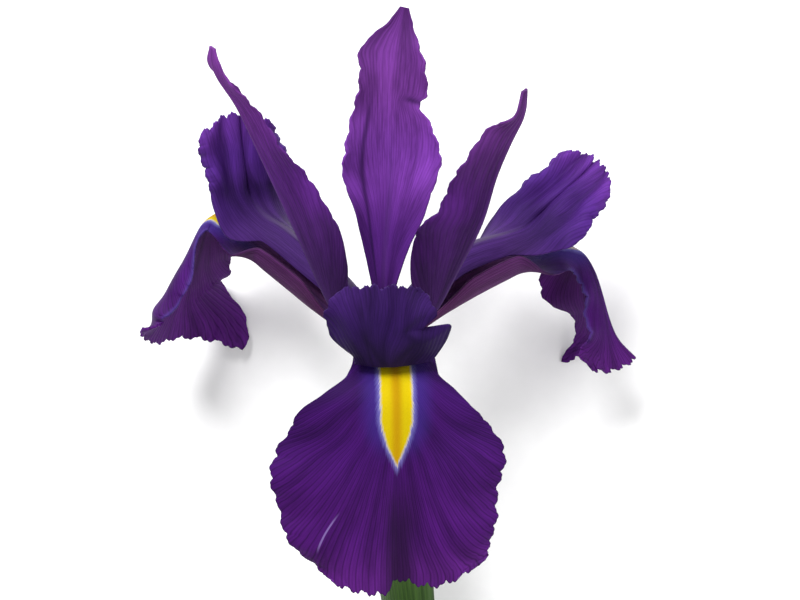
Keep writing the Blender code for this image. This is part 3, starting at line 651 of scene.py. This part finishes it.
def rings_up_stem(heights, radii, lobes=0.0):
    """Rings round the stem's axis, and where their points lie; lobes swells three low ribs."""
    turn = np.arange(STALK_SIDES) * 2 * math.pi / STALK_SIDES
    up, angle = np.meshgrid(heights, turn, indexing="ij")
    x, y = stem_axis(up)
    reach = np.asarray(radii)[:, None] * (1 + lobes * np.cos(3 * angle))
    rings = np.stack([x + reach * np.sin(angle), y - reach * np.cos(angle), up], -1)
    return rings, {"along": up, "turn": angle}


def stem_rings():
    """The stem from its cut end, with a softened edge, up to the ovary."""
    top = TUBE_TOP - OVARY_LENGTH - GAP
    ups = np.concatenate([[STEM_END, STEM_END + 0.25], np.linspace(STEM_END + 0.8, top, 180)])
    knots = [(STEM_END, 1.06), (STEM_END + 0.8, 1.12), (NODE_UP - 3, 1.04), (NODE_UP - 1.5, 1.15)]
    knots += [(NODE_UP - 0.4, 1.12), (NODE_UP + 1.5, 0.95), (top, 0.86)]
    return rings_up_stem(ups, STEM_RADIUS * eased(knots, ups))


def ovary_rings():
    """The three-ribbed ovary and the floral tube that widens on top of it."""
    depths = np.linspace(OVARY_LENGTH, 0.0, 90)
    knots = [(0, 1.0), (0.6, 0.96), (2.2, 0.74), (4.5, 0.58), (7, 0.6), (11, 0.68), (16, 0.71), (21, 0.68)]
    radii = TUBE_RADIUS * eased(knots + [(25, 0.58), (OVARY_LENGTH, 0.5)], depths)
    return rings_up_stem(TUBE_TOP - depths, radii, lobes=0.05)


def stamen_rings(drop):
    """A thread-like filament that widens into a flattened, furrowed anther under its style arm.

    drop scales its rise above the tube, to keep it inside the channel of its haft.
    """
    path = [(3.0, BASE_UP), (3.2, 3), (5.2, 6.5 * drop), (9.5, 11 * drop), (15, 14.4 * drop)]
    run, line = smooth_line(path + [(21, 17 * drop), (27, 18.6 * drop)])
    share = np.linspace(0, 1, 120)
    wide = eased([(0, 0.55), (0.66, 0.5), (0.7, 0.8), (0.76, 1.1), (0.92, 1.0), (1, 0.5)], share)
    thin = wide * eased([(0, 1), (0.66, 1), (0.74, 0.6), (1, 0.6)], share)
    place = np.stack([np.interp(share * run[-1], run, line[:, k]) for k in range(2)], 1)
    tangent = np.gradient(place, axis=0)
    tangent /= np.linalg.norm(tangent, axis=1, keepdims=True)
    turn = np.arange(STAMEN_SIDES) * 2 * math.pi / STAMEN_SIDES
    furrow = 1 - 0.25 * bell(np.cos(turn), 0.3) * (share > 0.68)[:, None]
    lift = thin[:, None] * np.sin(turn) * furrow
    out = place[:, :1] - tangent[:, 1:] * lift
    up = place[:, 1:] + tangent[:, :1] * lift
    rings = np.stack([wide[:, None] * np.cos(turn), -out, up], -1)
    s, angle = np.meshgrid(share, turn, indexing="ij")
    return rings, {"s": s, "turn": angle}


# ---- materials

# Colours from the base to the tip of each kind of piece, as (station, hex code) stops.
# The haft's inner face is mauve in life, and is painted lighter still to lift the shade in the channel under
# the style arm.
FALL_HAFT = ((0, "7a4a78"), (0.34, "6b3f74"))
FALL_UPPER = FALL_HAFT + ((0.48, "2c0a4c"), (0.62, "350c54"), (0.85, "3b0e57"), (1, "46165f"))
FALL_UNDER = ((0, "4d244c"), (0.45, "4d2356"), (0.6, "431556"), (1, "521d70"))
# The standards share one colour in life: the back one is painted lighter, as light shines through it, and
# the side ones are painted darker, as shaded.
STANDARD_BACK_LIT = ((0, "3c1a5c"), (0.3, "481d6b"), (0.55, "703697"), (0.8, "6a3386"), (1, "4c2162"))
STANDARD_LEFT_SHADED = ((0, "2f1548"), (0.3, "36164f"), (0.6, "4e206e"), (1, "66307c"))
STANDARD_RIGHT_SHADED = ((0, "2f1248"), (0.3, "34144b"), (0.6, "3f185a"), (1, "5a2c6f"))
ARM_REAR = ((0, "3a2158"), (0.6, "3c205c"), (0.72, "361a5a"), (0.85, "44206f"), (1, "55287e"))
ARM_FRONT = ((0, "3a2158"), (0.6, "2c1848"), (0.78, "21103a"), (0.88, "281148"), (1, "2f164f"))
BRACT_DARK = ((0, "263e17"), (1, "3a5124"))
BRACT_LIGHT = ((0, "345121"), (1, "606d42"))
STAMEN_COLOURS = ((0, "b9a9cf"), (0.66, "8f7fb0"), (0.7, "d8cfae"), (1, "cfc39a"))

# The fine pale scar on the front fall: its middle as a station and a place v across, how v changes with
# the station along it, and its half length in stations.
SCAR_MIDDLE, SCAR_ACROSS = 0.862, -0.6302
SCAR_LEAN = -3.1
SCAR_HALF = 0.055


class Paint:
    """One material's node graph; each method adds a node and returns its output."""

    def __init__(self, name, roughness, gloss=0.3):
        self.material = bpy.data.materials.new(name)
        self.material.use_nodes = True
        self.tree = self.material.node_tree
        self.shader = self.tree.nodes["Principled BSDF"]
        self.shader.inputs["Roughness"].default_value = roughness
        self.shader.inputs["Specular IOR Level"].default_value = gloss

    def feed(self, socket, value):
        """Give a socket another node's output, a hex colour or a plain value."""
        if isinstance(value, bpy.types.NodeSocket):
            self.tree.links.new(value, socket)
        elif isinstance(value, str):
            socket.default_value = (*srgb(value), 1.0)
        else:
            socket.default_value = value

    def node(self, kind, inputs, output=0, **settings):
        """A node of the given kind, with its settings and inputs."""
        node = self.tree.nodes.new(kind)
        for name, value in settings.items():
            setattr(node, name, value)
        for socket, value in inputs.items():
            self.feed(node.inputs[socket], value)
        return node.outputs[output]

    def field(self, name):
        """The mesh's own value of this name."""
        return self.node("ShaderNodeAttribute", {}, "Fac", attribute_name=name)

    def math(self, operation, *values):
        """An operation on numbers."""
        return self.node("ShaderNodeMath", dict(enumerate(values)), operation=operation)

    def times(self, first, *others):
        """The product of the values."""
        product = first
        for value in others:
            product = self.math("MULTIPLY", product, value)
        return product

    def ease(self, value, low, high, first=0.0, last=1.0):
        """A smooth step from first to last as value goes from low to high."""
        span = {"Value": value, "From Min": low, "From Max": high, "To Min": first, "To Max": last}
        return self.node("ShaderNodeMapRange", span, interpolation_type="SMOOTHSTEP")

    def vary(self, noise, first=0.0, last=1.0):
        """Values from first to last, as the noise runs over its usual range."""
        return self.ease(noise, 0.3, 0.7, first, last)

    def mix(self, share, under, over):
        """The colour under, covered by the share given of the colour over."""
        return self.node("ShaderNodeMix", {0: share, 6: under, 7: over}, 2, data_type="RGBA")

    def scale(self, colour, factor):
        """The colour made brighter or darker."""
        return self.node("ShaderNodeVectorMath", {0: colour, "Scale": factor}, operation="SCALE")

    def ramp(self, value, *stops):
        """Colours eased between (place, hex code) stops."""
        colour = stops[0][1]
        for (low, _), (high, code) in zip(stops, stops[1:]):
            colour = self.mix(self.ease(value, low, high), colour, code)
        return colour

    def noise(self, x, y, z=0.0):
        """Fractal noise about 0.5 at a place given by three values, one unit to a cell."""
        place = self.node("ShaderNodeCombineXYZ", {0: x, 1: y, 2: z})
        return self.node("ShaderNodeTexNoise", {"Vector": place, "Scale": 1.0, "Detail": 3.0})

    def finish(self, colour, height=None, depth=0.1):
        """The material in this colour, embossed by height to a depth in millimetres."""
        self.feed(self.shader.inputs["Base Color"], colour)
        if height is not None:
            inputs = {"Height": height, "Distance": depth * MM, "Strength": 1.0}
            self.feed(self.shader.inputs["Normal"], self.node("ShaderNodeBump", inputs))
        return self.material


def petal_paint(name, upper_stops, under_stops, seed, vein_depth, marks):
    """A petal's material: its colours, then streaks and dark veins along its vein field, then its marks.

    marks(paint, colour, fine) paints what else the petal shows; fine is the noise along its veins.
    """
    paint = Paint(name, 0.6, gloss=0.06)
    vein, along, across, s = (paint.field(n) for n in ("vein", "along", "across", "s"))
    wide = paint.noise(paint.times(vein, 0.25), paint.times(along, 0.03), seed)
    fine = paint.noise(paint.times(vein, 3.0), paint.times(along, 0.25), seed + 5)
    cells = paint.noise(paint.times(across, 3.0), paint.times(along, 3.0), seed + 9)
    colour = paint.mix(paint.field("upper"), paint.ramp(s, *under_stops), paint.ramp(s, *upper_stops))
    streaks = paint.math("ADD", paint.vary(wide, 0.72, 1.3), paint.vary(fine, -0.16, 0.16))
    colour = paint.scale(colour, streaks)
    line = paint.math("PINGPONG", vein, 0.5)
    side_line = paint.math("PINGPONG", paint.times(vein, 2.0), 0.5)
    breadth = paint.vary(fine, 0.1, 0.24)
    dark = paint.times(paint.ease(line, 0.0, breadth, 1.0, 0.0), vein_depth)
    faint = paint.times(paint.ease(side_line, 0.0, 0.3, 1.0, 0.0), 0.35 * vein_depth)
    colour = paint.scale(colour, paint.math("SUBTRACT", 1.0, paint.math("MAXIMUM", dark, faint)))
    colour = marks(paint, colour, fine)
    relief = paint.math("ADD", paint.times(cells, 0.5), paint.times(line, 1.2))
    return paint.finish(colour, relief, 0.06)


def signal_marks(paint, colour, fine):
    """The yellow signal with its orange middle and blue-white rim, fading into a violet glow."""
    signal = paint.math("ADD", paint.field("signal"), paint.vary(fine, -0.2, 0.2))
    shown = paint.field("upper")
    ended = paint.ease(paint.field("s"), 0.62, 0.71, 1.0, 0.0)
    glow = paint.times(paint.ease(signal, -5.0, -0.6), shown, ended, 0.8)
    colour = paint.mix(glow, colour, "33206f")
    halo = paint.times(paint.ease(signal, -1.3, -0.2), shown, 0.75)
    colour = paint.mix(halo, colour, "6a66a8")
    rim = paint.times(paint.ease(signal, -0.4, -0.1), shown)
    colour = paint.mix(rim, colour, "a9a4a6")
    across = paint.math("ABSOLUTE", paint.field("across"))
    yellow = paint.mix(paint.ease(across, 0.1, 1.6), "ad8502", "bca502")
    return paint.mix(paint.times(paint.ease(signal, -0.2, 0.2), shown), colour, yellow)


def front_marks(paint, colour, fine):
    """Marks of the front fall: its signal, painted shade in the crease below it and a fine pale scar."""
    colour = signal_marks(paint, colour, fine)
    # painted shade: the crease below the signal is darkened
    colour = paint.mix(paint.times(paint.field("crease"), 0.75), colour, "1b0a26")
    away = paint.math("ABSOLUTE", paint.field("scar"))
    ends = paint.math("ABSOLUTE", paint.math("SUBTRACT", paint.field("s"), SCAR_MIDDLE))
    scar = paint.times(paint.ease(away, 0.1, 0.26, 0.5, 0.0), paint.ease(ends, 0.02, SCAR_HALF, 1.0, 0.0))
    return paint.mix(scar, colour, "8d74b4")


def rear_marks(paint, colour, fine):
    """Marks of a rear fall: its signal and the pale margin of its near half."""
    colour = signal_marks(paint, colour, fine)
    return paint.mix(paint.times(paint.field("margin"), 0.45), colour, "4b3f88")


def ridge_marks(rib_colour, strength):
    """Marks of a petal with a midrib of the given colour, and with painted shade in its folds."""

    def marks(paint, colour, fine):
        width = paint.vary(fine, 0.7, 1.3)
        rib = paint.ease(paint.math("ABSOLUTE", paint.field("across")), 0.1, width, strength, 0.0)
        rib = paint.times(rib, paint.ease(paint.field("s"), 0.45, 0.72, 1.0, 0.0))
        colour = paint.mix(rib, colour, rib_colour)
        # painted shade: darker where the fold field marks a crease or a pleat
        return paint.mix(paint.times(paint.field("fold"), 0.45), colour, "170a2b")

    return marks


def leaf_paint(name, seed):
    """Green tissue of the bracts, streaked and finely veined."""
    paint = Paint(name, 0.5, gloss=0.12)
    vein, along, s = (paint.field(n) for n in ("vein", "along", "s"))
    streak = paint.noise(vein, paint.times(along, 0.06), seed)
    colour = paint.mix(paint.vary(streak), paint.ramp(s, *BRACT_DARK), paint.ramp(s, *BRACT_LIGHT))
    line = paint.math("PINGPONG", vein, 0.5)
    colour = paint.mix(paint.ease(line, 0.0, 0.2, 0.35, 0.0), colour, "446428")
    return paint.finish(colour, paint.math("ADD", line, streak), 0.08)


def stalk_paint(name, dark, light):
    """The stem's and the ovary's green, streaked lengthwise and finely flecked."""
    paint = Paint(name, 0.5, gloss=0.12)
    along, turn = paint.field("along"), paint.field("turn")
    x = paint.times(paint.math("COSINE", turn), 5.0)
    y = paint.times(paint.math("SINE", turn), 5.0)
    streak = paint.noise(x, y, paint.times(along, 0.05))
    fleck = paint.noise(paint.times(x, 3.0), y, paint.times(along, 0.8))
    colour = paint.mix(paint.vary(streak), dark, light)
    colour = paint.mix(paint.ease(fleck, 0.62, 0.75, 0.0, 0.4), colour, "4f6b2f")
    return paint.finish(colour, streak, 0.15)


def stamen_paint():
    """A pale violet filament and a cream anther."""
    paint = Paint("stamen_look", 0.6)
    grain = paint.noise(paint.times(paint.field("s"), 160.0), paint.field("turn"))
    colour = paint.ramp(paint.field("s"), *STAMEN_COLOURS)
    colour = paint.mix(paint.ease(grain, 0.4, 0.7, 0.0, 0.35), colour, "efe6c4")
    return paint.finish(colour, grain, 0.1)


# ---- where each mark lies on its petal

SIGNAL_HALF = 2.75  # half width of the front fall's signal
SIGNAL_TAPER = (0.6, 0.703)  # stations between which that signal narrows to its point


def fall_signal(field, broad=SIGNAL_HALF, first=0.32):
    """How far inside the yellow signal a point lies, in millimetres; negative outside it.

    It is broad to either side of the midrib from the station first on, until it narrows.
    """
    low, high = SIGNAL_TAPER
    half = np.interp(field["s"], [first, first + 0.08], [-2.0, broad])
    past = np.clip((field["s"] - low) / (high - low), 0, None) ** 1.4
    return half - np.abs(field["across"]) - SIGNAL_HALF * past


def front_crease_shade(field):
    """Painted shade in the crease down the lower middle of the front fall."""
    away = np.abs(field["across"] - 0.6)
    return smooth_step(away, 4.6, 0.8) * smooth_step(field["s"], 0.7, 0.86)


def front_scar(field):
    """Distance across the front fall from the line of its scar, in millimetres."""
    line = SCAR_ACROSS + SCAR_LEAN * (field["s"] - SCAR_MIDDLE)
    width = np.abs(field["across"]) + field["edge"]
    return (field["v"] - line) * width


def near_margin(field, side):
    """The pale margin of a rear fall's near half; side is the sign of v on that half."""
    thread = bell(field["edge"], 0.5) * (field["v"] * side > 0)
    return thread * smooth_step(field["s"], 0.5, 0.6) * smooth_step(field["s"], 0.95, 0.85)


def crest_fold_shade(field):
    """Painted shade for the crease and the pleats of a rear crest: how deep a point lies in them."""
    valley = np.clip(-np.sin(3 * math.pi * np.abs(field["v"])), 0, 1)
    depth = bell(field["v"], 0.12) + 0.7 * valley
    return np.clip(depth, 0, 1) * smooth_step(field["s"], 0.6, 0.74)


def back_fold_shade(field):
    """Painted shade along the back standard's crease, at the viewer's left, and along the fold that runs in
    from its notch.
    """
    s, v = field["s"], field["v"]
    crease = bell(v - 0.6, 0.06) * smooth_step(s, 0.12, 0.3) * smooth_step(s, 0.8, 0.66)
    notch = bell(s - 0.73 - 0.02 * (v + 1), 0.008) * smooth_step(v, -0.25, -0.7)
    return np.maximum(1.5 * crease, 1.4 * notch)


def front_curl_shade(field):
    """Painted shade in the curls at the mouth of the front style arm: one leans to the left, one to the
    right.

    The shade is deeper than in the pleats of a rear crest, so it reaches past 1.
    """
    curls = 0.0
    for places, high in (([0.1, -0.15, -0.3, -0.3], 0.93), ([0.15, 0.3, 0.5, 0.68], 0.97)):
        middle = np.interp(field["s"], [0.76, 0.8, 0.85, 0.92], places)
        curl = bell(field["v"] - middle, 0.09) * smooth_step(field["s"], high, 0.83)
        curls = np.maximum(curls, curl)
    return 1.7 * curls * smooth_step(field["s"], 0.74, 0.78)


# ---- the whole flower


def build_falls():
    """The three falls; the rear ones show less of the signal, and a pale margin."""
    front_paint = petal_paint("front_fall", FALL_UPPER, FALL_UNDER, 1.0, 0.45, front_marks)
    rear_paint = petal_paint("rear_fall", FALL_UPPER, FALL_UNDER, 1.0, 0.45, rear_marks)
    front = {"signal": fall_signal, "crease": front_crease_shade, "scar": front_scar}
    left = {"signal": lambda f: fall_signal(f, 1.8, 0.46), "margin": lambda f: near_margin(f, 1)}
    right = {"signal": lambda f: fall_signal(f, 0.0, 0.48), "margin": lambda f: near_margin(f, -1)}
    for node, blade, turn, paint, marks in (
        ("fall_front", front_fall(), FRONT_FALL_TURN, front_paint, front),
        ("fall_left", left_fall(), LEFT, rear_paint, left),
        ("fall_right", right_fall(), RIGHT, rear_paint, right),
    ):
        sheet(node, blade, FALL_GRID, turn, paint, FALL_VEINS, marks=marks)


def build_standards():
    """The three standards; the back one faces the viewer and is painted palest, as lit through from behind,
    with painted shade in its folds; the side ones are painted darker, as shaded.
    """
    ridge = ridge_marks("4d2a6c", 0.4)
    fold_shaded = {"fold": back_fold_shade}
    for node, blade, turn, stops, marks in (
        ("standard_back", back_standard(), BACK, STANDARD_BACK_LIT, fold_shaded),
        ("standard_left", left_standard(), STANDARD_LEFT, STANDARD_LEFT_SHADED, None),
        ("standard_right", right_standard(), STANDARD_RIGHT, STANDARD_RIGHT_SHADED, None),
    ):
        paint = petal_paint(node + "_petal", stops, stops, turn, 0.24, ridge)
        sheet(node, blade, STANDARD_GRID, turn, paint, STANDARD_VEINS, marks=marks)


def build_arms():
    """The three style arms, with a greyish midrib and painted shade in the folds of their crests."""
    ridge = ridge_marks("5c5662", 0.6)
    for node, blade, turn, stops, veins, fold_shade in (
        ("style_arm_front", front_arm(), FRONT, ARM_FRONT, CREST_VEINS, front_curl_shade),
        ("style_arm_left", left_arm(), LEFT, ARM_REAR, ARM_VEINS, crest_fold_shade),
        ("style_arm_right", right_arm(), RIGHT, ARM_REAR, ARM_VEINS, crest_fold_shade),
    ):
        paint = petal_paint(node + "_petal", stops, stops, 30.0 + turn, 0.28, ridge)
        sheet(node, blade, ARM_GRID, turn, paint, veins, reach=ARM_REACH, marks={"fold": fold_shade})


def build_stalk():
    """The two bracts, the stem and the ovary."""
    inner = bract(INNER_TURN, radii=(4.4, 5.1), top=-9.0, wrap=2.2)
    outer = bract(OUTER_TURN, radii=(5.8, 6.5), top=-14.0, wrap=2.0)
    sheet("spathe_inner", inner, BRACT_GRID, INNER_TURN, leaf_paint("inner_bract", 3.0), BRACT_VEINS)
    sheet("spathe_outer", outer, BRACT_GRID, OUTER_TURN, leaf_paint("outer_bract", 8.0), BRACT_VEINS)
    loft("stem", *stem_rings(), 0.0, stalk_paint("stem_skin", "1d3312", "27401a"))
    loft("ovary", *ovary_rings(), 0.0, stalk_paint("ovary_skin", "44662c", "5d7f3c"))


def build_stamens():
    """One stamen under each style arm."""
    paint = stamen_paint()
    for node, turn, drop in (
        ("stamen_front", FRONT, 1.0),
        ("stamen_left", LEFT, 1.03),
        ("stamen_right", RIGHT, 0.86),
    ):
        loft(node, *stamen_rings(drop), turn, paint)


# ---- the studio

FLOOR_HALF = 2.0  # half the side of the floor, in metres
SKY_STRENGTH = 0.65


def build_floor():
    """The plain white surface that the flower lies on."""
    paint = Paint("floor", 0.7)
    where = paint.node("ShaderNodeTexCoord", {}, "Object")
    grain = paint.node("ShaderNodeTexNoise", {"Vector": where, "Scale": 260.0, "Detail": 3.0})
    corners = [(x * FLOOR_HALF, y * FLOOR_HALF, 0) for x, y in ((-1, -1), (1, -1), (1, 1), (-1, 1))]
    mesh = bpy.data.meshes.new("floor")
    mesh.from_pydata(corners, [], [(0, 1, 2, 3)])
    mesh.materials.append(paint.finish(paint.mix(grain, "f4f4f4", "fafafa")))
    floor = bpy.data.objects.new("floor", mesh)
    bpy.context.scene.collection.objects.link(floor)


def add_light(name, offset, size, power):
    """A round area light at an offset in metres from the flower's middle, turned towards it."""
    lamp = bpy.data.lights.new(name, "AREA")
    lamp.shape = "DISK"
    lamp.size = size
    lamp.energy = power
    holder = bpy.data.objects.new(name, lamp)
    holder.location = (cad_low + cad_high) / 2 + Vector(offset)
    holder.rotation_euler = (-Vector(offset)).to_track_quat("-Z", "Y").to_euler()
    bpy.context.scene.collection.objects.link(holder)


def build_light():
    """A soft light from above the flower's top left, a weaker one from its right, and a white sky."""
    add_light("key", (-0.3, 0.6, 0.75), size=0.45, power=13.0)
    add_light("fill", (0.6, -0.2, 0.6), size=0.7, power=3.0)
    world = bpy.data.worlds.new("studio")
    world.use_nodes = True
    sky = world.node_tree.nodes["Background"]
    sky.inputs["Color"].default_value = (1, 1, 1, 1)
    sky.inputs["Strength"].default_value = SKY_STRENGTH
    bpy.context.scene.world = world
    bpy.context.scene.view_settings.view_transform = "Standard"


def build_camera():
    """Looks down on the lying flower, from the side that its front fall faces."""
    height = math.radians(CAMERA_HEIGHT)
    forth = Vector((0.0, math.cos(height), -math.sin(height)))
    up = Vector((0.0, math.sin(height), math.cos(height)))
    eye = -CAMERA_DISTANCE * forth
    aim = Vector((AIM_RIGHT, 0.0, 0.0)) + AIM_UP * up
    ahead = (aim - eye).normalized()
    side = ahead.cross(up).normalized()
    above = side.cross(ahead)
    turn = Matrix((side, above, -ahead)).transposed().to_4x4()
    place, look, _ = (plant_place() @ Matrix.Translation(eye) @ turn).decompose()
    lens = bpy.data.cameras.new("camera")
    lens.lens = LENS_MM
    lens.clip_start = 0.01
    camera = bpy.data.objects.new("camera", lens)
    camera.location = place
    camera.rotation_euler = look.to_euler()
    bpy.context.scene.collection.objects.link(camera)
    bpy.context.scene.camera = camera


build_falls()
build_standards()
build_arms()
build_stalk()
build_stamens()
build_floor()
build_light()
build_camera()
